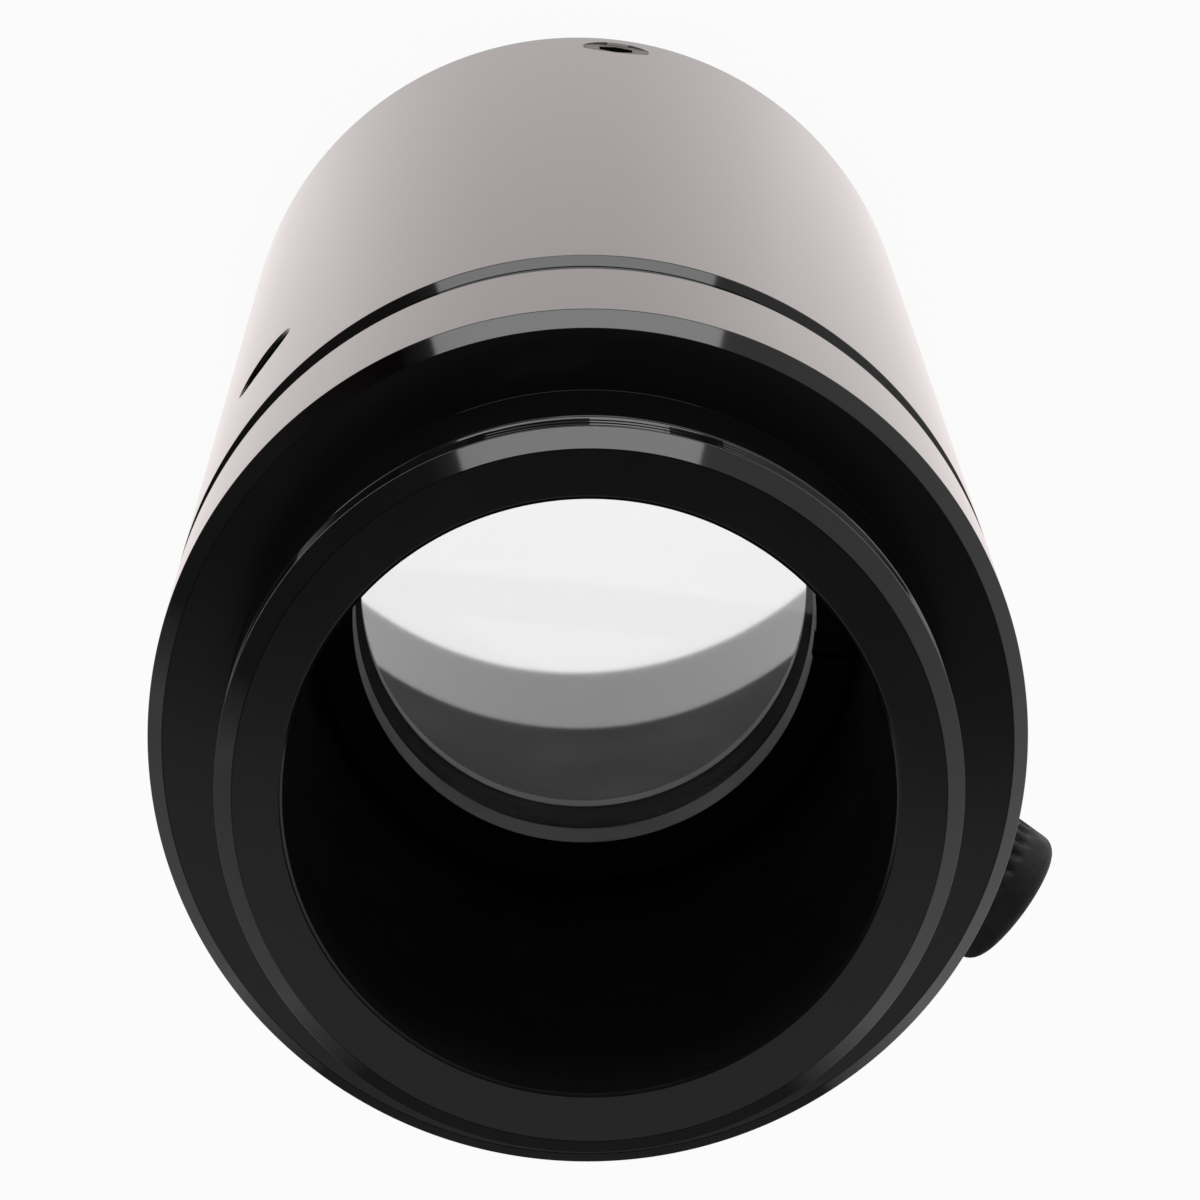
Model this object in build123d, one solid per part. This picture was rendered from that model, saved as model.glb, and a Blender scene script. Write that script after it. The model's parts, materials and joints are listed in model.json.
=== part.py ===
from build123d import *
import math
import os

# Lens mount adapter: a black anodised relay tube of turned aluminium.
# The origin is the centre of the rear face. +Z runs along the optical axis to the
# threaded front spigot, so the adapter stands on its rear end. Millimetres.

# Body tube
body_radius = 25.4
body_length = 100.0
body_wall = 2.8
body_front_chamfer = 0.6
body_rear_chamfer = 0.5
socket_wall = 2.2
socket_depth = 18.5
socket_edge_chamfer = 0.2

# Front mount: collar, neck, spigot and sleeve, turned as one piece
seat_gap = 0.05
neck_length = 3.75
neck_step = 0.6
collar_length = 15.0
collar_front_chamfer_axial = 1.27
collar_front_chamfer_radial = 0.9
collar_rear_chamfer = 0.4
shoulder_width = 4.45
spigot_length = 11.5
spigot_chamfer_axial = 1.25
spigot_chamfer_radial = 1.05
spigot_wall = 3.9
bore_edge_chamfer = 0.2
sleeve_length = 28.5
sleeve_clearance = 0.05
sleeve_end_chamfer = 0.8
cell_stop_width = 1.05
cell_stop_length = 3.0
clamp_groove_width = 5.4
clamp_groove_depth = 0.8

# Lens cell and its cemented doublet
cell_clearance = 0.02
cell_wall = 2.0
cell_lip_length = 1.7
cell_lip_width = 0.83
lens_clearance = 0.03
doublet_edge_length = 7.2
crown_edge_length = 3.2
front_curve_radius = 270.0
cement_curve_radius = 200.0
rear_curve_radius = 757.0
cement_gap = 0.02

# Retaining ring
ring_clearance = 0.05
ring_length = 3.0
ring_wall = 2.4
ring_bevel_radial = 0.1
ring_slot_width = 1.6
ring_slot_depth = 1.0
ring_slot_count = 2

# Clamp screw: knob, stud and swivelling tip, square to the optical axis
clamp_angle = 330.0
clamp_height = 79.5
clamp_hole_radius = 2.67
clamp_running_clearance = 0.05
hole_edge_chamfer = 0.25
knob_radius = 4.73
knob_stand_off = 1.35
knob_length = 8.0
knob_outer_round = 0.95
knob_corner_bevels = 3
knob_inner_bevel = 0.4
knob_skirt_radius = 3.6
knob_skirt_length = 0.6
flute_count = 24
flute_depth = 0.28
flute_band_start = 1.2
flute_band_length = 4.4
stud_bond_clearance = 0.02
stud_depth_in_knob = 5.0
tip_groove_gap = 0.1
tip_radius = 2.2
tip_length = 1.2
tip_bevel = 0.3
tip_to_stud_gap = 0.05
tip_stem_radius = 1.0
tip_stem_length = 1.8
tip_stem_clearance = 0.05
tip_stem_end_gap = 0.2

# Spare tapped hole, straight across from the clamp screw
spare_hole_angle = clamp_angle - 180.0

# Rear set screws
rear_screw_height = 5.2
rear_screw_count = 3
rear_screw_first_angle = 90.0
rear_screw_radius = 2.4
rear_hole_clearance = 0.05
rear_screw_sink = 0.15
rear_screw_inner_gap = 0.05
rear_screw_bevel = 0.35
hex_key_size = 2.5
hex_depth = 1.1

# Radii that follow from the sizes above
body_bore_radius = body_radius - body_wall
socket_radius = body_radius - socket_wall
neck_radius = body_radius - neck_step
sleeve_radius = body_bore_radius - sleeve_clearance
groove_floor_radius = sleeve_radius - clamp_groove_depth
spigot_radius = body_radius - shoulder_width
mount_bore_radius = spigot_radius - spigot_wall
exit_bore_radius = mount_bore_radius - cell_stop_width
cell_radius = mount_bore_radius - cell_clearance
lens_radius = cell_radius - cell_wall
cell_lip_radius = lens_radius - cell_lip_width
ring_radius = mount_bore_radius - ring_clearance
ring_inner_radius = ring_radius - ring_wall
stud_radius = clamp_hole_radius - clamp_running_clearance
rear_hole_radius = rear_screw_radius + rear_hole_clearance

# Heights that follow
neck_start = body_length + seat_gap
collar_start = neck_start + neck_length
collar_end = collar_start + collar_length
spigot_end = collar_end + spigot_length
sleeve_end = neck_start - sleeve_length
cell_start = sleeve_end + cell_stop_length
lens_start = cell_start + cell_lip_length
cell_end = lens_start + doublet_edge_length
cement_edge_height = cell_end - crown_edge_length

# Distances of the screws' ends from the optical axis
tip_inner_reach = groove_floor_radius + tip_groove_gap
stud_inner_reach = tip_inner_reach + tip_length + tip_to_stud_gap
knob_inner_reach = body_radius + knob_stand_off
stud_outer_reach = knob_inner_reach + stud_depth_in_knob
rear_screw_inner_reach = socket_radius + rear_screw_inner_gap
rear_screw_outer_reach = body_radius - rear_screw_sink
rear_screw_length = rear_screw_outer_reach - rear_screw_inner_reach


def turned(points):
    outline = Plane.XZ * Polyline(*points, close=True)
    return revolve(make_face(outline), axis=Axis.Z)


def radial_place(angle, height):
    # A plane whose own Z axis points straight out from the optical axis
    direction = (math.cos(math.radians(angle)), math.sin(math.radians(angle)), 0)
    return Plane(origin=(0, 0, height), x_dir=(0, 0, 1), z_dir=direction)


def sag(curve_radius, radius):
    return curve_radius - math.sqrt(curve_radius**2 - radius**2)


def wall_hole(radius, angle, height):
    drill_length = body_radius
    drill = Pos(0, 0, body_bore_radius / 2 + drill_length / 2) * Cylinder(radius, drill_length)
    sink_height = 2 * hole_edge_chamfer
    sink = Pos(0, 0, body_radius) * Cone(radius, radius + sink_height, sink_height)
    return radial_place(angle, height) * (drill + sink)


def body_tube():
    tube = turned([
        (socket_radius + socket_edge_chamfer, 0),
        (body_radius - body_rear_chamfer, 0),
        (body_radius, body_rear_chamfer),
        (body_radius, body_length - body_front_chamfer),
        (body_radius - body_front_chamfer, body_length),
        (body_bore_radius, body_length),
        (body_bore_radius, socket_depth),
        (socket_radius, socket_depth),
        (socket_radius, socket_edge_chamfer),
    ])
    tube -= wall_hole(clamp_hole_radius, clamp_angle, clamp_height)
    tube -= wall_hole(clamp_hole_radius, spare_hole_angle, clamp_height)
    for angle in rear_screw_angles():
        tube -= wall_hole(rear_hole_radius, angle, rear_screw_height)
    return tube


def rear_screw_angles():
    return [rear_screw_first_angle + 360 * i / rear_screw_count for i in range(rear_screw_count)]


def front_mount():
    collar_face_radius = body_radius - collar_front_chamfer_radial
    spigot_face_radius = spigot_radius - spigot_chamfer_radial
    groove_low = clamp_height - clamp_groove_width / 2
    groove_high = clamp_height + clamp_groove_width / 2
    return turned([
        (exit_bore_radius, sleeve_end),
        (sleeve_radius - sleeve_end_chamfer, sleeve_end),
        (sleeve_radius, sleeve_end + sleeve_end_chamfer),
        (sleeve_radius, groove_low),
        (groove_floor_radius, groove_low),
        (groove_floor_radius, groove_high),
        (sleeve_radius, groove_high),
        (sleeve_radius, neck_start),
        (neck_radius, neck_start),
        (neck_radius, collar_start),
        (body_radius - collar_rear_chamfer, collar_start),
        (body_radius, collar_start + collar_rear_chamfer),
        (body_radius, collar_end - collar_front_chamfer_axial),
        (collar_face_radius, collar_end),
        (spigot_radius, collar_end),
        (spigot_radius, spigot_end - spigot_chamfer_axial),
        (spigot_face_radius, spigot_end),
        (mount_bore_radius + bore_edge_chamfer, spigot_end),
        (mount_bore_radius, spigot_end - bore_edge_chamfer),
        (mount_bore_radius, cell_start),
        (exit_bore_radius, cell_start),
    ])


def lens_cell():
    cell_inner_radius = lens_radius + lens_clearance
    return turned([
        (cell_lip_radius, cell_start),
        (cell_radius, cell_start),
        (cell_radius, cell_end),
        (cell_inner_radius, cell_end),
        (cell_inner_radius, lens_start),
        (cell_lip_radius, lens_start),
    ])


def glass_blank(low, high):
    return Pos(0, 0, (low + high) / 2) * Cylinder(lens_radius, high - low)


def ball(curve_radius, edge_height, side):
    # The sphere through the rim circle at edge_height; side is 1 where its centre lies above.
    # Its poles lie sideways, away from the glass.
    middle = edge_height + side * (curve_radius - sag(curve_radius, lens_radius))
    return Pos(0, 0, middle) * Rot(90, 0, 0) * Sphere(curve_radius)


def crown_lens():
    front_sag = sag(front_curve_radius, lens_radius)
    cement_sag = sag(cement_curve_radius, lens_radius)
    blank = glass_blank(cement_edge_height - cement_sag, cell_end)
    front = ball(front_curve_radius, cell_end - front_sag, -1)
    return blank & front & ball(cement_curve_radius, cement_edge_height, 1)


def flint_lens():
    rear_sag = sag(rear_curve_radius, lens_radius)
    blank = glass_blank(lens_start, cement_edge_height - cement_gap)
    rear = ball(rear_curve_radius, lens_start + rear_sag, 1)
    return (blank & rear) - ball(cement_curve_radius, cement_edge_height - cement_gap, 1)


def retaining_ring():
    ring = turned([
        (ring_inner_radius - ring_bevel_radial, cell_end),
        (ring_radius, cell_end),
        (ring_radius, cell_end + ring_length),
        (ring_inner_radius, cell_end + ring_length),
    ])
    slot_height = cell_end + ring_length - ring_slot_depth / 2
    slot_length = ring_radius
    for i in range(ring_slot_count):
        slot = Pos(slot_length / 2 + ring_inner_radius / 2, 0, slot_height)
        slot *= Box(slot_length, ring_slot_width, ring_slot_depth)
        ring -= Rot(0, 0, 360 * i / ring_slot_count) * slot
    return ring


def clamp_knob():
    # The rounded outer corner is turned as a row of bevels
    corner = []
    for i in range(knob_corner_bevels + 1):
        turn = math.pi / 2 * i / knob_corner_bevels
        corner.append((
            knob_radius - knob_outer_round * (1 - math.cos(turn)),
            knob_length - knob_outer_round * (1 - math.sin(turn)),
        ))
    knob = turned([
        (0, 0),
        (knob_radius - knob_inner_bevel, 0),
        (knob_radius, knob_inner_bevel),
        *corner,
        (0, knob_length),
    ])
    flute_place = Pos(0, 0, flute_band_start + flute_band_length / 2)
    cutter_half_width = 2 * flute_depth
    cutter_side = cutter_half_width * math.sqrt(2)
    cutter = Rot(0, 0, 45) * Box(cutter_side, cutter_side, flute_band_length)
    flutes = PolarLocations(knob_radius + cutter_half_width - flute_depth, flute_count) * cutter
    knob -= [flute_place * flute for flute in flutes]
    skirt_place = Pos(0, 0, -knob_skirt_length / 2)
    knob += skirt_place * Cylinder(knob_skirt_radius, knob_skirt_length)
    blind_length = stud_depth_in_knob + knob_skirt_length
    blind_place = Pos(0, 0, stud_depth_in_knob - blind_length / 2)
    knob -= blind_place * Cylinder(stud_radius + stud_bond_clearance, blind_length)
    return radial_place(clamp_angle, clamp_height) * Pos(0, 0, knob_inner_reach) * knob


def clamp_stud():
    length = stud_outer_reach - stud_inner_reach
    stud = Cylinder(stud_radius, length, align=(Align.CENTER, Align.CENTER, Align.MIN))
    stud = chamfer(stud.edges().group_by(Axis.Z)[0], tip_bevel)
    socket_length = tip_stem_length + tip_stem_end_gap - tip_to_stud_gap
    socket = Cylinder(tip_stem_radius + tip_stem_clearance, socket_length)
    stud -= Pos(0, 0, socket_length / 2) * socket
    return radial_place(clamp_angle, clamp_height) * Pos(0, 0, stud_inner_reach) * stud


def clamp_tip():
    tip = Cylinder(tip_radius, tip_length, align=(Align.CENTER, Align.CENTER, Align.MIN))
    tip = chamfer(tip.edges().group_by(Axis.Z)[0], tip_bevel)
    stem = Cylinder(tip_stem_radius, tip_stem_length)
    tip += Pos(0, 0, tip_length + tip_stem_length / 2) * stem
    return radial_place(clamp_angle, clamp_height) * Pos(0, 0, tip_inner_reach) * tip


def rear_set_screws():
    length = rear_screw_length
    screw = Cylinder(rear_screw_radius, length, align=(Align.CENTER, Align.CENTER, Align.MIN))
    screw = chamfer(screw.edges().group_by(Axis.Z)[0], rear_screw_bevel)
    hexagon = RegularPolygon(hex_key_size / 2, 6, major_radius=False)
    screw -= Pos(0, 0, length - hex_depth) * extrude(hexagon, hex_depth)
    seated = Pos(0, 0, rear_screw_inner_reach) * screw
    return Compound([
        radial_place(angle, rear_screw_height) * seated for angle in rear_screw_angles()
    ])


NODES = {
    "body_tube": body_tube,
    "front_mount": front_mount,
    "lens_cell": lens_cell,
    "crown_lens": crown_lens,
    "flint_lens": flint_lens,
    "retaining_ring": retaining_ring,
    "clamp_knob": clamp_knob,
    "clamp_stud": clamp_stud,
    "clamp_tip": clamp_tip,
    "rear_set_screws": rear_set_screws,
}

os.makedirs("parts", exist_ok=True)
for name, build in NODES.items():
    export_step(build(), f"parts/{name}.step")
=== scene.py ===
import json
import math
import bmesh
import bpy
from mathutils import Matrix, Vector

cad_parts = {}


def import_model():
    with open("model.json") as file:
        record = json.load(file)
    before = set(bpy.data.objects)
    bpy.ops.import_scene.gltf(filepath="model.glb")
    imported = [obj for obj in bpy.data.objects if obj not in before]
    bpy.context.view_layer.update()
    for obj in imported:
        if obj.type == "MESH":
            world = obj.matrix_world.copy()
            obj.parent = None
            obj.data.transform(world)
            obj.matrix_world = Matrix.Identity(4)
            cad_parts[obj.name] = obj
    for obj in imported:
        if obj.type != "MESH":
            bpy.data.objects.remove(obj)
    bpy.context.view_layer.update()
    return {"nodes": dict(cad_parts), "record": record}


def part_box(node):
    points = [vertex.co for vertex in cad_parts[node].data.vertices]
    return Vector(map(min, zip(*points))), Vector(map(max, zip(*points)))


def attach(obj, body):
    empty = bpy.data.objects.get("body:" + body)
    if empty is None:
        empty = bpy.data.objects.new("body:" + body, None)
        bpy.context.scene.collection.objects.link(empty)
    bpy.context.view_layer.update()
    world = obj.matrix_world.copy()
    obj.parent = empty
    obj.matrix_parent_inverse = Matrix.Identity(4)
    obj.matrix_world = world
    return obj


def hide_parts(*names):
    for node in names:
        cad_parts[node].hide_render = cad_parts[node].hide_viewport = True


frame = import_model()

# Lens mount adapter: a black anodised relay tube, standing on its rear end. Metres.
# Z is the optical axis; the threaded front spigot points up at the camera.

mm = 0.001
mounts = {mount["name"]: mount for mount in frame["record"]["mounts"]}
turn_steps = 384
edge_break = 0.05 * mm

# Body tube
body_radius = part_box("body_tube")[1].x
body_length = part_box("body_tube")[1].z
body_bore_radius = body_radius - 2.8 * mm
body_front_chamfer = 0.6 * mm
body_rear_chamfer = 0.5 * mm
socket_radius = mounts["rear_socket"]["dims"]["r_mm"] * mm
socket_depth = 18.5 * mm
socket_edge_chamfer = 0.2 * mm

# Front mount
sleeve_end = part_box("front_mount")[0].z
spigot_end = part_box("front_mount")[1].z
neck_start = body_length + 0.05 * mm
collar_start = neck_start + 3.75 * mm
collar_end = mounts["front_shoulder"]["pos_m"][2]
neck_radius = body_radius - 0.6 * mm
sleeve_radius = body_bore_radius - 0.05 * mm
groove_floor_radius = sleeve_radius - 0.8 * mm
groove_width = 5.4 * mm
collar_chamfer_axial = 1.27 * mm
collar_chamfer_radial = 0.9 * mm
collar_rear_chamfer = 0.4 * mm
spigot_radius = mounts["front_spigot"]["dims"]["r_mm"] * mm
spigot_chamfer_axial = 1.25 * mm
spigot_chamfer_radial = 1.05 * mm
mount_bore_radius = spigot_radius - 3.9 * mm
exit_bore_radius = mount_bore_radius - 1.05 * mm
bore_edge_chamfer = 0.2 * mm
sleeve_end_chamfer = 0.8 * mm

# Spigot thread
thread_pitch = 0.75 * mm
thread_depth = 0.4 * mm
thread_length = 3.0 * mm
thread_run_out = 0.3 * thread_pitch
thread_crest_flat = 0.1
thread_rows_per_pitch = 10

# Lens cell, retaining ring and glass
cell_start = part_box("lens_cell")[0].z
cell_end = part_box("lens_cell")[1].z
cell_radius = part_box("lens_cell")[1].x
lens_radius = cell_radius - 2.0 * mm
lens_start = cell_start + 1.7 * mm
cell_lip_radius = lens_radius - 0.83 * mm
cell_inner_radius = lens_radius + 0.03 * mm
cement_edge_height = cell_end - 3.2 * mm
cement_gap = 0.02 * mm
front_curve_radius = 270 * mm
cement_curve_radius = 200 * mm
rear_curve_radius = 757 * mm
ring_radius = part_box("retaining_ring")[1].x
ring_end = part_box("retaining_ring")[1].z
ring_inner_radius = ring_radius - 2.4 * mm
ring_bore_taper = 0.1 * mm
ring_slot_width = 1.6 * mm
ring_slot_depth = 1.0 * mm
ring_slot_reach = 8 * mm

# Clamp screw and the holes in the wall
clamp_angle = 330
clamp_height = 79.5 * mm
hole_radius = mounts["spare_screw_hole"]["dims"]["r_mm"] * mm
hole_sink = 0.25 * mm
hole_thread_pitch = 1.0 * mm
hole_thread_depth = 0.32 * mm
rear_screw_angles = [90, 210, 330]
rear_screw_height = 5.2 * mm
rear_hole_radius = 2.45 * mm
drill_inner_end = body_bore_radius - 2 * mm
drill_outer_end = body_radius + 1 * mm
knob_radius = 4.73 * mm
knob_inner_reach = body_radius + 1.35 * mm
knob_length = 8.0 * mm
knob_outer_round = 0.95 * mm
knob_inner_bevel = 0.4 * mm
knob_skirt_radius = 3.6 * mm
knob_skirt_length = 0.6 * mm
knob_hollow_radius = hole_radius - 0.03 * mm
knob_hollow_depth = 5 * mm
knob_rounding_steps = 8
knob_side_steps = 24
flute_count = 24
flute_depth = 0.28 * mm
flute_band_start = 1.2 * mm
flute_band_end = 5.6 * mm
flute_run_out = 0.35 * mm
columns_per_flute = 10

# The room that the object mirrors: sectors round it as azimuth, half width and soft edge, in degrees
front_sector = (-85, 34, 7)
left_front_sector = (-145, 24, 8)
left_sector = (154, 33, 7)
# Painted shade: in this sector the table's glow for mirror rays is dimmed, standing in for the object's
# shadow on it.
painted_shade_sector = (102, 32, 18)
room_level = 0.62
front_change = -0.57
left_front_change = -0.2
left_change = -0.55
painted_shade_change = 0.13
walls_fade = (0.1, 0.35)
overhead_level = 0.03
soft_level = 0.6

# Table: reaches from the axis at which its painted glow, as mirrors show it, changes
table_half_size = 4.0
table_fade = (0.1, 0.2)
table_front_fade = (0.026, 0.05)
tube_foot = (0.024, 0.026)
table_camera_share = 0.93
table_color = (0.85, 0.85, 0.85, 1)
plain_white = (1, 1, 1, 1)
# Painted warm tint of the table's glow for mirror rays near the tube, which warms the tube's
# reflections.
warm_white = (1, 0.93, 0.92, 1)

# Lamps
window_azimuth = math.radians(98)
window_distance = 0.5
window_height = 0.115
window_width = 0.44
window_rise = 0.23
window_power = 1.1
ceiling_x = 0.04
ceiling_edge = -0.257
ceiling_depth = 0.5
ceiling_width = 1.0
ceiling_height = 1.12
ceiling_power = 0.7

# Camera
focal_length = 172.3
camera_place = Vector((-11.8, 82.3, 438.3)) * mm
camera_right = Vector((0.99329, 0.11530, 0.0091))
camera_up = Vector((-0.11025, 0.96770, -0.2267))
camera_back = Vector((-0.03495, 0.22418, 0.9739))


def new_object(name, mesh, body, nodes, materials):
    obj = bpy.data.objects.new(name, mesh)
    bpy.context.collection.objects.link(obj)
    for material in materials:
        mesh.materials.append(material)
    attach(obj, body)
    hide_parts(*nodes)


def broken_edges(outline, size, steps=2):
    """The closed outline with each corner rounded by an arc of about the given size."""
    points = []
    count = len(outline)
    for i, (r, z) in enumerate(outline):
        here = Vector((r, z))
        before = Vector(outline[i - 1]) - here
        after = Vector(outline[(i + 1) % count]) - here
        cut = min(size, before.length / 3, after.length / 3)
        start = here + before.normalized() * cut
        end = here + after.normalized() * cut
        for step in range(steps + 1):
            t = step / steps
            points.append(start * (1 - t) ** 2 + here * 2 * t * (1 - t) + end * t * t)
    return [(p.x, p.y) for p in points]


def ring_mesh(name, rows, columns):
    """A closed ring of quads; rows(angle) gives its outline there as (radius, height) points."""
    mesh = bpy.data.meshes.new(name)
    verts = []
    for j in range(columns):
        angle = 2 * math.pi * j / columns
        for r, z in rows(angle):
            verts.append((r * math.cos(angle), r * math.sin(angle), z))
    count = len(verts) // columns
    faces = []
    for j in range(columns):
        a, b = j * count, (j + 1) % columns * count
        for i in range(count):
            k = (i + 1) % count
            faces.append((a + i, b + i, b + k, a + k))
    mesh.from_pydata(verts, [], faces)
    outward(mesh)
    return mesh


def outward(mesh):
    edit = bmesh.new()
    edit.from_mesh(mesh)
    bmesh.ops.recalc_face_normals(edit, faces=edit.faces)
    edit.to_mesh(mesh)
    edit.free()


def turned(name, outline):
    points = broken_edges(outline, edge_break)
    return ring_mesh(name, lambda angle: points, turn_steps)


def turned_normals(mesh, sharp=math.radians(35), tangent_limit=0.03):
    """Exact shading normals on every face turned round Z; smooth shading elsewhere."""
    mesh.shade_smooth()
    mesh.set_sharp_from_angle(angle=sharp)
    mesh.update()
    normals = [corner.vector.copy() for corner in mesh.corner_normals]
    for face in mesh.polygons:
        centre, normal = face.center, face.normal
        along = Vector((centre.x, centre.y, 0)).normalized()
        across = Vector((-along.y, along.x, 0))
        if abs(normal.dot(across)) > tangent_limit:
            continue
        radial = normal.dot(along)
        for corner in face.loop_indices:
            point = mesh.vertices[mesh.loops[corner].vertex_index].co
            out = Vector((point.x, point.y, 0)).normalized()
            normals[corner] = Vector((out.x * radial, out.y * radial, normal.z)).normalized()
    mesh.normals_split_custom_set(normals)


def spindle(name, profile, columns=64):
    """A solid turned round Z from an open profile whose first and last points lie on the axis."""
    mesh = bpy.data.meshes.new(name)
    verts = [(0, 0, profile[0][1])]
    for r, z in profile[1:-1]:
        for j in range(columns):
            angle = 2 * math.pi * j / columns
            verts.append((r * math.cos(angle), r * math.sin(angle), z))
    verts.append((0, 0, profile[-1][1]))
    last = len(verts) - 1
    rows = len(profile) - 2
    faces = []
    for j in range(columns):
        k = (j + 1) % columns
        faces.append((0, 1 + k, 1 + j))
        for i in range(rows - 1):
            a, b = 1 + i * columns, 1 + (i + 1) * columns
            faces.append((a + j, a + k, b + k, b + j))
        top = 1 + (rows - 1) * columns
        faces.append((top + j, top + k, last))
    mesh.from_pydata(verts, [], faces)
    outward(mesh)
    return mesh


def radial_place(angle, height):
    """Stands Z along the direction straight out from the optical axis."""
    turn = math.radians(angle)
    out = Vector((math.cos(turn), math.sin(turn), 0))
    up = Vector((0, 0, 1))
    side = out.cross(up)
    rotation = Matrix((up, side, out)).transposed().to_4x4()
    return Matrix.Translation((0, 0, height)) @ rotation


def cut_away(mesh, cutters):
    """The mesh with each cutter mesh taken out of it."""
    target = bpy.data.objects.new("cut_target", mesh)
    bpy.context.collection.objects.link(target)
    tools = []
    for cutter in cutters:
        tool = bpy.data.objects.new("cut_tool", cutter)
        bpy.context.collection.objects.link(tool)
        modifier = target.modifiers.new("cut", "BOOLEAN")
        modifier.operation = "DIFFERENCE"
        modifier.solver = "EXACT"
        modifier.object = tool
        tools.append(tool)
    graph = bpy.context.evaluated_depsgraph_get()
    result = bpy.data.meshes.new_from_object(target.evaluated_get(graph))
    for obj in [target, *tools]:
        bpy.data.objects.remove(obj)
    result.materials.clear()
    return result


def hole_cutter(radius, angle, height, threaded=False):
    """A drill through the body's wall with its countersink, threaded if asked."""
    sink_start = body_radius - hole_sink
    profile = [(0, drill_inner_end), (radius, drill_inner_end)]
    if threaded:
        z = drill_inner_end + hole_thread_pitch / 4
        while z + hole_thread_pitch < sink_start:
            profile.append((radius, z))
            profile.append((radius + hole_thread_depth, z + hole_thread_pitch / 2))
            z += hole_thread_pitch
        profile.append((radius, z))
    profile.append((radius, sink_start))
    profile.append((radius + hole_sink * 5, body_radius + hole_sink * 4))
    profile.append((radius + hole_sink * 5, drill_outer_end))
    profile.append((0, drill_outer_end))
    cutter = spindle("drill", profile)
    cutter.transform(radial_place(angle, height))
    return cutter


def node(tree, kind, settings=None, **inputs):
    """A new shader node; inputs are numbers, colours or sockets, by name or _index."""
    made = tree.nodes.new(kind)
    for key, value in (settings or {}).items():
        setattr(made, key, value)
    for key, value in inputs.items():
        index = int(key[1:]) if key[0] == "_" and key[1:].isdigit() else key.replace("_", " ")
        socket = made.inputs[index]
        if isinstance(value, bpy.types.NodeSocket):
            tree.links.new(value, socket)
        else:
            socket.default_value = value
    return made


def math_node(tree, operation, a, b=0.0, c=0.0, clamp=False):
    made = node(tree, "ShaderNodeMath", {"operation": operation, "use_clamp": clamp}, _0=a, _1=b, _2=c)
    return made.outputs[0]


def map_range(tree, value, low, high, to_low, to_high):
    made = node(tree, "ShaderNodeMapRange", None, Value=value)
    made.inputs["From Min"].default_value = low
    made.inputs["From Max"].default_value = high
    made.inputs["To Min"].default_value = to_low
    made.inputs["To Max"].default_value = to_high
    return made.outputs["Result"]


def noise(tree, vector, scale, detail=2.0, roughness=0.5):
    made = node(tree, "ShaderNodeTexNoise", None, Vector=vector, Scale=scale, Detail=detail)
    made.inputs["Roughness"].default_value = roughness
    return made.outputs[0]


def new_material(name):
    material = bpy.data.materials.new(name)
    material.use_nodes = True
    tree = material.node_tree
    shader = tree.nodes["Principled BSDF"]
    return material, tree, shader


def turned_coordinates(tree):
    """Object position, and the same point as (radius, height, angle) round the optical axis."""
    position = tree.nodes.new("ShaderNodeTexCoord").outputs["Object"]
    parts = node(tree, "ShaderNodeSeparateXYZ", None, Vector=position)
    x, y, z = parts.outputs
    square = math_node(tree, "ADD", math_node(tree, "MULTIPLY", x, x), math_node(tree, "MULTIPLY", y, y))
    radius = math_node(tree, "SQRT", square)
    angle = math_node(tree, "ARCTAN2", y, x)
    return position, radius, z, angle


def anodised(name, color, roughness, tool_mark=0.0004, line_spacing=0.16, anisotropy=0.0,
             specular=0.5, variation=0.3):
    """Black anodised turned aluminium: tool lines round the axis, faint blotches and dust."""
    material, tree, shader = new_material(name)
    position, radius, height, angle = turned_coordinates(tree)
    across = node(tree, "ShaderNodeCombineXYZ", None, X=radius, Y=height).outputs[0]
    lines = noise(tree, across, 1 / (line_spacing * mm), 1.0)
    blotch_scale, grain_scale, grain_share = 160, 5200, 0.35
    blotches = noise(tree, position, blotch_scale, 3.0)
    grain = noise(tree, position, grain_scale, 2.0)
    spread = variation * roughness
    rough = math_node(tree, "MULTIPLY_ADD", blotches, spread, roughness - spread)
    rough = math_node(tree, "MULTIPLY_ADD", lines, spread / 2, rough)
    rough = math_node(tree, "MULTIPLY_ADD", grain, spread / 2, rough)
    tree.links.new(rough, shader.inputs["Roughness"])
    tint = node(tree, "ShaderNodeMix", {"data_type": "RGBA"}, _0=blotches)
    tint.inputs[6].default_value = [*(0.8 * c for c in color), 1]
    tint.inputs[7].default_value = [*(1.25 * c for c in color), 1]
    tree.links.new(tint.outputs[2], shader.inputs["Base Color"])
    relief = math_node(tree, "MULTIPLY_ADD", grain, grain_share, lines)
    bump = node(tree, "ShaderNodeBump", None, Height=relief, Strength=1.0)
    bump.inputs["Distance"].default_value = tool_mark * mm
    tree.links.new(bump.outputs[0], shader.inputs["Normal"])
    shader.inputs["IOR"].default_value = 1.5
    shader.inputs["Specular IOR Level"].default_value = specular
    if anisotropy:
        shader.inputs["Anisotropic"].default_value = anisotropy
        shader.inputs["Anisotropic Rotation"].default_value = 0.25
        tangent = node(tree, "ShaderNodeTangent", {"direction_type": "RADIAL", "axis": "Z"})
        tree.links.new(tangent.outputs[0], shader.inputs["Tangent"])
    return material


def glass(name, color, ior, haze=0.0):
    material, tree, shader = new_material(name)
    shader.inputs["Base Color"].default_value = [*color, 1]
    shader.inputs["Roughness"].default_value = haze
    shader.inputs["IOR"].default_value = ior
    shader.inputs["Transmission Weight"].default_value = 1.0
    shader.inputs["Specular IOR Level"].default_value = 0.1
    return material


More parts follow.
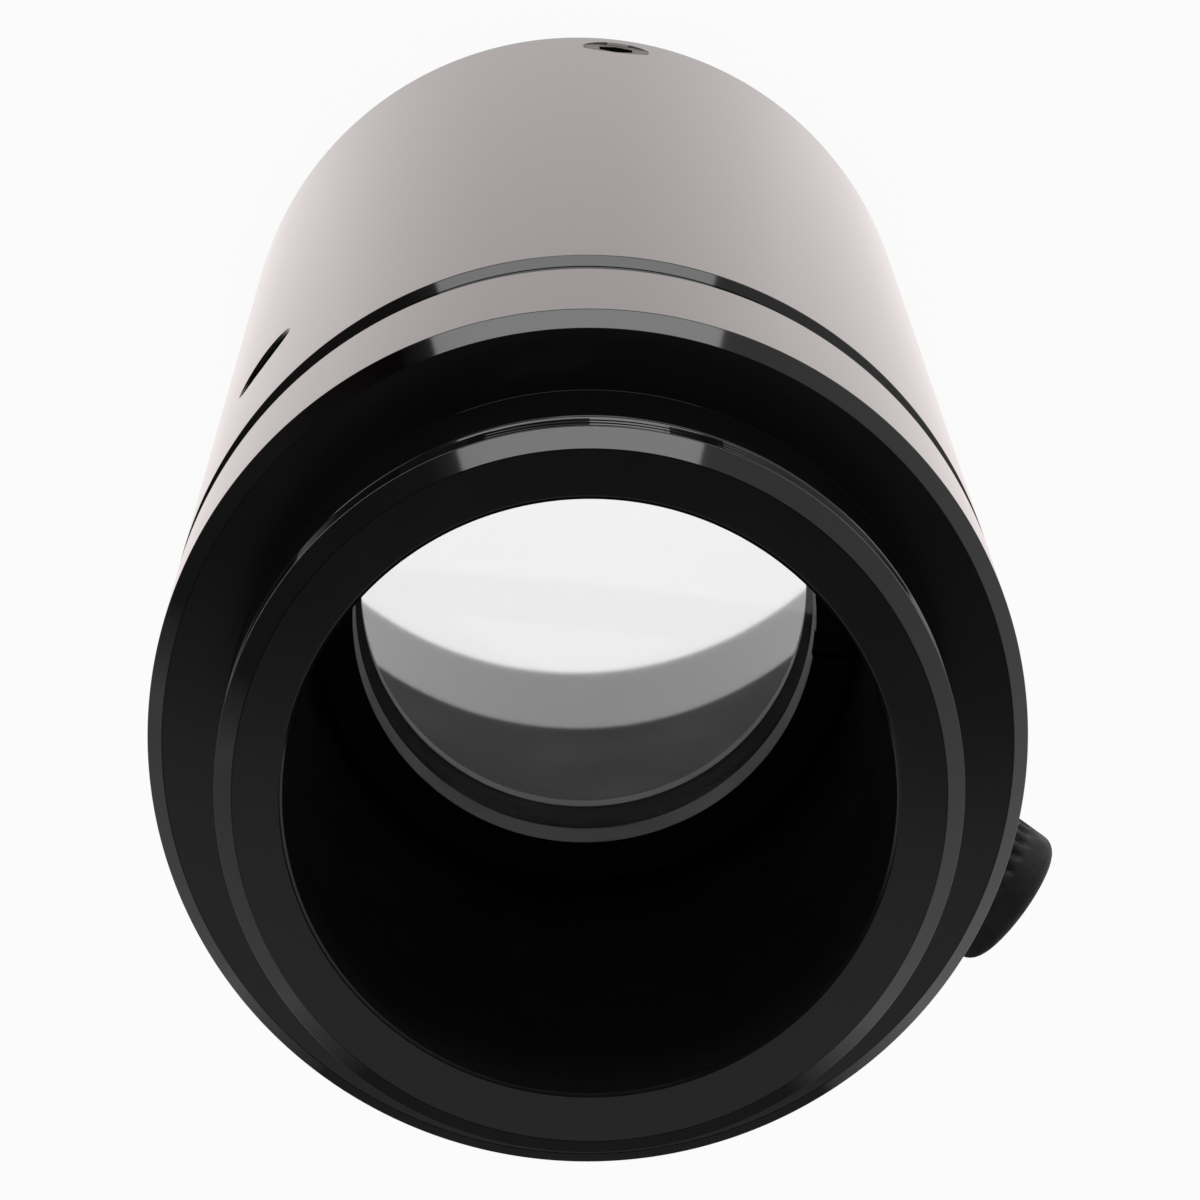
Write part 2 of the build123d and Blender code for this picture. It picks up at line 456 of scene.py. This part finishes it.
def knob_plastic():
    material, tree, shader = new_material("knob_plastic")
    position = tree.nodes.new("ShaderNodeTexCoord").outputs["Object"]
    mottle = noise(tree, position, 900, 3.0)
    pits = noise(tree, position, 4200, 2.0)
    shade = node(tree, "ShaderNodeMix", {"data_type": "RGBA"}, _0=mottle)
    shade.inputs[6].default_value = [0.004, 0.004, 0.004, 1]
    shade.inputs[7].default_value = [0.016, 0.016, 0.017, 1]
    tree.links.new(shade.outputs[2], shader.inputs["Base Color"])
    tree.links.new(map_range(tree, mottle, 0.3, 0.7, 0.5, 0.72), shader.inputs["Roughness"])
    relief = math_node(tree, "MULTIPLY_ADD", mottle, 1.5, pits)
    bump = node(tree, "ShaderNodeBump", None, Height=relief, Strength=1.0)
    bump.inputs["Distance"].default_value = 0.03 * mm
    tree.links.new(bump.outputs[0], shader.inputs["Normal"])
    return material


def metal(name, color, roughness):
    material, tree, shader = new_material(name)
    position = tree.nodes.new("ShaderNodeTexCoord").outputs["Object"]
    wear = noise(tree, position, 1500, 3.0)
    shade = node(tree, "ShaderNodeMix", {"data_type": "RGBA"}, _0=wear)
    shade.inputs[6].default_value = [*(0.7 * c for c in color), 1]
    shade.inputs[7].default_value = [*(1.3 * c for c in color), 1]
    tree.links.new(shade.outputs[2], shader.inputs["Base Color"])
    rough = map_range(tree, wear, 0.3, 0.7, roughness - 0.08, roughness + 0.08)
    tree.links.new(rough, shader.inputs["Roughness"])
    shader.inputs["Metallic"].default_value = 1.0
    bump = node(tree, "ShaderNodeBump", None, Height=wear, Strength=1.0)
    bump.inputs["Distance"].default_value = 0.003 * mm
    tree.links.new(bump.outputs[0], shader.inputs["Normal"])
    return material


body_skin = anodised("body_skin", (0.004, 0.0032, 0.0032), 0.06, variation=0.6)
mount_skin = anodised("mount_skin", (0.004, 0.0033, 0.0033), 0.07, variation=0.6)
face_skin = anodised("face_skin", (0.004, 0.0035, 0.0036), 0.16, 0.0008, 0.12, 0.5)
bore_skin = anodised("bore_skin", (0.006, 0.0055, 0.006), 0.75, specular=0.1)
tube_bore_skin = anodised("tube_bore_skin", (0.006, 0.0055, 0.006), 0.6, specular=0.1)
socket_skin = anodised("socket_skin", (0.004, 0.004, 0.004), 0.1)
cell_skin = anodised("cell_skin", (0.006, 0.005, 0.0045), 0.45, specular=0.25)
crown_glass = glass("crown_glass", (1, 1, 1), 1.52)
flint_glass = glass("flint_glass", (1, 1, 1), 1.62, 0.04)
knob_skin = knob_plastic()
dark_steel = metal("dark_steel", (0.07, 0.065, 0.06), 0.38)
brass = metal("brass", (0.55, 0.4, 0.16), 0.32)


def body_tube():
    mesh = turned("body_tube_turned", [
        (socket_radius + socket_edge_chamfer, 0),
        (body_radius - body_rear_chamfer, 0),
        (body_radius, body_rear_chamfer),
        (body_radius, body_length - body_front_chamfer),
        (body_radius - body_front_chamfer, body_length),
        (body_bore_radius, body_length),
        (body_bore_radius, socket_depth),
        (socket_radius, socket_depth),
        (socket_radius, socket_edge_chamfer),
    ])
    cutters = [
        hole_cutter(hole_radius, clamp_angle, clamp_height),
        hole_cutter(hole_radius, clamp_angle - 180, clamp_height, threaded=True),
    ]
    for angle in rear_screw_angles:
        cutters.append(hole_cutter(rear_hole_radius, angle, rear_screw_height))
    mesh = cut_away(mesh, cutters)
    turned_normals(mesh)
    new_object("body_tube_finished", mesh, "body", ["body_tube"],
               [body_skin, tube_bore_skin, socket_skin])
    wall_middle = body_radius - 1.2 * mm
    margin = 0.1 * mm
    for face in mesh.polygons:
        inside = math.hypot(face.center.x, face.center.y) < wall_middle
        if inside and face.center.z > socket_depth - margin:
            face.material_index = 1
        elif inside and face.center.z > margin:
            face.material_index = 2


def front_mount():
    """Collar, neck, spigot with its thread, and sleeve, in one turned piece."""
    groove_low = clamp_height - groove_width / 2
    groove_high = clamp_height + groove_width / 2
    thread_top = spigot_end - spigot_chamfer_axial
    thread_start = thread_top - thread_length
    lower = [
        (exit_bore_radius, sleeve_end),
        (sleeve_radius - sleeve_end_chamfer, sleeve_end),
        (sleeve_radius, sleeve_end + sleeve_end_chamfer),
        (sleeve_radius, groove_low),
        (groove_floor_radius, groove_low),
        (groove_floor_radius, groove_high),
        (sleeve_radius, groove_high),
        (sleeve_radius, neck_start),
        (neck_radius, neck_start),
        (neck_radius, collar_start),
        (body_radius - collar_rear_chamfer, collar_start),
        (body_radius, collar_start + collar_rear_chamfer),
        (body_radius, collar_end - collar_chamfer_axial),
        (body_radius - collar_chamfer_radial, collar_end),
        (spigot_radius, collar_end),
        (spigot_radius, thread_start),
    ]
    upper = [
        (spigot_radius, thread_top),
        (spigot_radius - spigot_chamfer_radial, spigot_end),
        (mount_bore_radius + bore_edge_chamfer, spigot_end),
        (mount_bore_radius, spigot_end - bore_edge_chamfer),
        (mount_bore_radius, cell_start),
        (exit_bore_radius, cell_start),
    ]
    points = broken_edges(lower + upper, edge_break)
    split = max(i for i, (r, z) in enumerate(points) if z < thread_start + edge_break and
                r > spigot_radius - edge_break) + 1
    rows = round(thread_length / thread_pitch) * thread_rows_per_pitch

    def outline(angle):
        thread = []
        for i in range(1, rows):
            z = thread_start + thread_length * i / rows
            phase = (z / thread_pitch - angle / (2 * math.pi)) % 1
            fade = min(1, (z - thread_start) / thread_pitch, (thread_top - z) / thread_run_out)
            slope = (1 + thread_crest_flat) * (1 - abs(2 * phase - 1))
            bite = max(0.0, slope - thread_crest_flat)
            thread.append((spigot_radius - thread_depth * min(1, bite) * fade, z))
        return points[:split] + thread + points[split:]

    mesh = ring_mesh("front_mount_turned", outline, turn_steps)
    turned_normals(mesh, sharp=math.radians(50))
    new_object("front_mount_finished", mesh, "front_mount",
               ["front_mount"], [mount_skin, face_skin, bore_skin])
    bore_reach = mount_bore_radius + 0.05 * mm
    bore_top = spigot_end - bore_edge_chamfer
    faces_from = collar_end - 0.2 * mm
    level = 0.95
    for face in mesh.polygons:
        reach = math.hypot(face.center.x, face.center.y)
        if reach < bore_reach and face.center.z < bore_top:
            face.material_index = 2
        elif face.normal.z > level and face.center.z > faces_from:
            face.material_index = 1


def lens_cell():
    mesh = turned("lens_cell_turned", [
        (cell_lip_radius, cell_start),
        (cell_radius, cell_start),
        (cell_radius, cell_end),
        (cell_inner_radius, cell_end),
        (cell_inner_radius, lens_start),
        (cell_lip_radius, lens_start),
    ])
    turned_normals(mesh)
    new_object("lens_cell_finished", mesh, "front_mount",
               ["lens_cell"], [cell_skin])


def retaining_ring():
    mesh = turned("retaining_ring_turned", [
        (ring_inner_radius - ring_bore_taper, cell_end),
        (ring_radius, cell_end),
        (ring_radius, ring_end),
        (ring_inner_radius, ring_end),
    ])
    slots = []
    for side in (0, math.pi):
        edit = bmesh.new()
        bmesh.ops.create_cube(edit, size=1)
        slot = bpy.data.meshes.new("slot")
        edit.to_mesh(slot)
        edit.free()
        slot.transform(Matrix.Diagonal((ring_slot_reach, ring_slot_width, 2 * ring_slot_depth, 1)))
        slot.transform(Matrix.Translation((ring_radius, 0, ring_end)))
        slot.transform(Matrix.Rotation(side, 4, "Z"))
        slots.append(slot)
    mesh = cut_away(mesh, slots)
    turned_normals(mesh)
    new_object("retaining_ring_finished", mesh, "front_mount",
               ["retaining_ring"], [cell_skin])


def cap(edge_height, curve_radius, side, steps=40):
    """Points from the axis to the rim of a lens face; side is 1 where its centre lies above."""
    rim_sag = curve_radius - math.sqrt(curve_radius ** 2 - lens_radius ** 2)
    points = []
    for i in range(steps + 1):
        r = lens_radius * i / steps
        sag = curve_radius - math.sqrt(curve_radius ** 2 - r ** 2)
        points.append((r, edge_height - side * (rim_sag - sag)))
    return points


def lens(name, low, high, material, node_name):
    profile = low + high[::-1]
    mesh = spindle(name, profile, 256)
    mesh.shade_smooth()
    mesh.set_sharp_from_angle(angle=math.radians(30))
    new_object(name, mesh, "front_mount", [node_name], [material])


def lenses():
    front_sag = front_curve_radius - math.sqrt(front_curve_radius ** 2 - lens_radius ** 2)
    rear_sag = rear_curve_radius - math.sqrt(rear_curve_radius ** 2 - lens_radius ** 2)
    front = cap(cell_end - front_sag, front_curve_radius, -1)
    cement = cap(cement_edge_height, cement_curve_radius, 1)
    flint_front = cap(cement_edge_height - cement_gap, cement_curve_radius, 1)
    rear = cap(lens_start + rear_sag, rear_curve_radius, 1)
    lens("crown_lens_polished", cement, front, crown_glass, "crown_lens")
    lens("flint_lens_polished", rear, flint_front, flint_glass, "flint_lens")


def clamp_knob():
    """A moulded knob with shallow flutes, hollow at its inner end for the stud."""
    rounding = []
    for i in range(knob_rounding_steps + 1):
        turn = math.pi / 2 * i / knob_rounding_steps
        rounding.append((knob_radius - knob_outer_round * (1 - math.cos(turn)),
                         knob_length - knob_outer_round * (1 - math.sin(turn))))
    side = []
    for i in range(knob_side_steps + 1):
        side.append((knob_radius, knob_inner_bevel
                     + (knob_length - knob_outer_round - knob_inner_bevel) * i / knob_side_steps))
    profile = [(0, knob_hollow_depth), (knob_hollow_radius, knob_hollow_depth),
               (knob_hollow_radius, -knob_skirt_length),
               (knob_skirt_radius, -knob_skirt_length), (knob_skirt_radius, 0),
               (knob_radius - knob_inner_bevel, 0)]
    end_ring_radius = knob_radius * 0.45
    profile += side + rounding[1:]
    profile += [(end_ring_radius, knob_length), (0, knob_length)]
    mesh = spindle("clamp_knob_moulded", profile, flute_count * columns_per_flute)
    middle = (flute_band_start + flute_band_end) / 2
    half = (flute_band_end - flute_band_start) / 2
    outside = knob_radius - 0.01 * mm
    for vertex in mesh.vertices:
        x, y, z = vertex.co
        if math.hypot(x, y) < outside:
            continue
        band = max(0.0, min(1.0, (half - abs(z - middle)) / flute_run_out + 0.5))
        flute = (0.5 + 0.5 * math.cos(math.atan2(y, x) * flute_count)) ** 2
        scale = 1 - flute_depth * flute * band / knob_radius
        vertex.co = (x * scale, y * scale, z)
    mesh.shade_smooth()
    mesh.set_sharp_from_angle(angle=math.radians(40))
    mesh.transform(radial_place(clamp_angle, clamp_height)
                   @ Matrix.Translation((0, 0, knob_inner_reach)))
    new_object("clamp_knob_moulded", mesh, "clamp_screw",
               ["clamp_knob"], [knob_skin])


def carried_over():
    """CAD pieces that stay as they are and only get their finish."""
    for name, material in (("clamp_stud", dark_steel), ("clamp_tip", brass),
                           ("rear_set_screws", dark_steel)):
        obj = frame["nodes"][name]
        obj.data.materials.clear()
        obj.data.materials.append(material)


body_tube()
front_mount()
lens_cell()
retaining_ring()
lenses()
clamp_knob()
carried_over()


def toward(tree, direction, sector):
    """1 where the direction lies in the sector and 0 outside it, with a soft edge."""
    azimuth, half_width, soft = sector
    aim = (math.cos(math.radians(azimuth)), math.sin(math.radians(azimuth)), 0)
    flat = node(tree, "ShaderNodeVectorMath", {"operation": "MULTIPLY"}, _0=direction, _1=(1, 1, 0))
    unit = node(tree, "ShaderNodeVectorMath", {"operation": "NORMALIZE"}, _0=flat.outputs[0])
    near = node(tree, "ShaderNodeVectorMath", {"operation": "DOT_PRODUCT"}, _0=unit.outputs[0], _1=aim)
    low = math.cos(math.radians(half_width + soft))
    high = math.cos(math.radians(half_width - soft))
    return map_range(tree, near.outputs["Value"], low, high, 0, 1)


def room_glow(tree, direction):
    """How bright the far floor and walls are all round, as the object mirrors them."""
    front = toward(tree, direction, front_sector)
    left_front = toward(tree, direction, left_front_sector)
    left = toward(tree, direction, left_sector)
    glow = math_node(tree, "MULTIPLY_ADD", front, front_change, room_level)
    glow = math_node(tree, "MULTIPLY_ADD", left_front, left_front_change, glow)
    return math_node(tree, "MULTIPLY_ADD", left, left_change, glow, clamp=True)


def floor():
    """A pale table with a soft shadow. Mirrored, it glows with painted light: white by the object, with
    painted shade in one sector, a painted warm tint near the tube, and dimmer further off.
    """
    mesh = bpy.data.meshes.new("table")
    size = table_half_size
    mesh.from_pydata([(-size, -size, 0), (size, -size, 0), (size, size, 0), (-size, size, 0)],
                     [], [(0, 1, 2, 3)])
    obj = bpy.data.objects.new("table", mesh)
    bpy.context.collection.objects.link(obj)
    material = bpy.data.materials.new("table_white")
    material.use_nodes = True
    tree = material.node_tree
    tree.nodes.clear()
    position = tree.nodes.new("ShaderNodeTexCoord").outputs["Object"]
    distance = node(tree, "ShaderNodeVectorMath", {"operation": "LENGTH"}, _0=position)
    reach = distance.outputs["Value"]
    far = map_range(tree, reach, *table_fade, 0, 1)
    front_fade = map_range(tree, reach, *table_front_fade, 0, 1)
    front_far = math_node(tree, "MULTIPLY", toward(tree, position, front_sector), front_fade)
    far = math_node(tree, "MAXIMUM", far, front_far)
    # Painted shade: mirror rays see the table's glow dimmed in one sector, standing in for the object's
    # shadow there.
    painted_shade = math_node(tree, "MULTIPLY", toward(tree, position, painted_shade_sector), painted_shade_change)
    path = tree.nodes.new("ShaderNodeLightPath")
    bounced = math_node(tree, "MAXIMUM", path.outputs["Is Glossy Ray"],
                        path.outputs["Is Transmission Ray"])
    share = math_node(tree, "MULTIPLY_ADD", path.outputs["Is Camera Ray"], table_camera_share,
                      bounced, clamp=True)
    # Painted shade: for mirror rays the table's glow dims further off, following the room's brightness
    # round it, darkest towards the front.
    dimming = math_node(tree, "SUBTRACT", 1.0, room_glow(tree, position))
    dimming = math_node(tree, "MULTIPLY", dimming, far)
    dimming = math_node(tree, "MULTIPLY", dimming, path.outputs["Is Glossy Ray"])
    painted_shade = math_node(tree, "MULTIPLY", painted_shade, path.outputs["Is Glossy Ray"])
    strength = math_node(tree, "SUBTRACT", math_node(tree, "SUBTRACT", 1.0, painted_shade), dimming)
    # Painted reflection tint: between the tube's foot and the far fade, mirror rays see the table glow
    # warm.
    outside = map_range(tree, reach, *tube_foot, 0, 1)
    warm = math_node(tree, "MULTIPLY", math_node(tree, "SUBTRACT", 1.0, far), outside)
    warm = math_node(tree, "MULTIPLY", warm, path.outputs["Is Glossy Ray"])
    tint = node(tree, "ShaderNodeMix", {"data_type": "RGBA"}, _0=warm)
    tint.inputs[6].default_value = plain_white
    tint.inputs[7].default_value = warm_white
    diffuse = node(tree, "ShaderNodeBsdfDiffuse", None, Color=table_color)
    glow = node(tree, "ShaderNodeEmission", None, Color=tint.outputs[2], Strength=strength)
    mix = node(tree, "ShaderNodeMixShader", None, _0=share, _1=diffuse.outputs[0],
               _2=glow.outputs[0])
    output = tree.nodes.new("ShaderNodeOutputMaterial")
    tree.links.new(mix.outputs[0], output.inputs[0])
    mesh.materials.append(material)


def world():
    """White behind the object; what the object mirrors is pale low down and dim overhead."""
    made = bpy.data.worlds.new("studio")
    bpy.context.scene.world = made
    made.use_nodes = True
    tree = made.node_tree
    tree.nodes.clear()
    path = tree.nodes.new("ShaderNodeLightPath")
    direction = tree.nodes.new("ShaderNodeTexCoord").outputs["Generated"]
    height = node(tree, "ShaderNodeSeparateXYZ", None, Vector=direction).outputs["Z"]
    low_down = map_range(tree, height, *walls_fade, 1, 0)
    walls = math_node(tree, "MULTIPLY", room_glow(tree, direction), low_down)
    mirrored = math_node(tree, "MAXIMUM", walls, overhead_level)
    white = node(tree, "ShaderNodeBackground", None, Color=plain_white, Strength=1.0)
    room = node(tree, "ShaderNodeBackground", None, Color=plain_white, Strength=mirrored)
    soft = node(tree, "ShaderNodeBackground", None, Color=plain_white, Strength=soft_level)
    glossy = node(tree, "ShaderNodeMixShader", None, _0=path.outputs["Is Glossy Ray"],
                  _1=soft.outputs[0], _2=room.outputs[0])
    mix = node(tree, "ShaderNodeMixShader", None, _0=path.outputs["Is Camera Ray"],
               _1=glossy.outputs[0], _2=white.outputs[0])
    output = tree.nodes.new("ShaderNodeOutputWorld")
    tree.links.new(mix.outputs[0], output.inputs[0])


def softbox(name, place, target, width, height, power):
    data = bpy.data.lights.new(name, "AREA")
    data.shape = "RECTANGLE"
    data.size = width
    data.size_y = height
    data.energy = power
    obj = bpy.data.objects.new(name, data)
    obj.location = place
    obj.rotation_euler = (Vector(target) - Vector(place)).to_track_quat("-Z", "Y").to_euler()
    obj.visible_camera = False
    bpy.context.collection.objects.link(obj)


def camera():
    """The photo's camera, above the front end and a little towards +Y."""
    data = bpy.data.cameras.new("camera")
    data.sensor_width = 36
    data.lens = focal_length
    data.clip_start = 0.01
    data.clip_end = 20
    obj = bpy.data.objects.new("camera", data)
    bpy.context.collection.objects.link(obj)
    rotation = Matrix((camera_right, camera_up, camera_back)).transposed().to_4x4()
    obj.matrix_world = Matrix.Translation(camera_place) @ rotation
    bpy.context.scene.camera = obj


floor()
world()
window_place = (window_distance * math.cos(window_azimuth),
                window_distance * math.sin(window_azimuth), window_height)
softbox("window", window_place, (0, 0, window_height), window_width, window_rise, window_power)
ceiling_y = ceiling_edge - ceiling_depth / 2
softbox("ceiling", (ceiling_x, ceiling_y, ceiling_height), (ceiling_x, ceiling_y, 0),
        ceiling_width, ceiling_depth, ceiling_power)
camera()

bpy.context.scene.view_settings.view_transform = "Standard"
